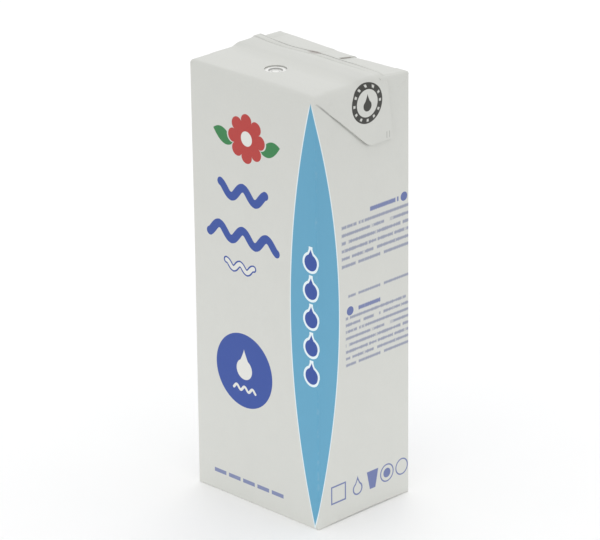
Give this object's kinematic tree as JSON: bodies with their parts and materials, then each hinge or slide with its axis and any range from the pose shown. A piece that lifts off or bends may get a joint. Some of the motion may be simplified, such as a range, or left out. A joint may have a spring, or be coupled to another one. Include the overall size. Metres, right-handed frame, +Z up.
{
  "type": "milk carton",
  "caption": "Small shut brick carton for milk, of folded board with a folded-back top seal, pointed ears down its narrow sides, a back lap seam and a straw hole.",
  "frame": {"origin": "centre of the base, on the table", "axes": "+X out of the narrow side seen on the picture's right, -Y out of the front panel, +Z up"},
  "size_m": [0.0502, 0.037, 0.1257],
  "materials": {
    "board": "satin film-coated board with simple print"
  },
  "bodies": {
    "root": {"carton": "board"}
  },
  "joints": []
}
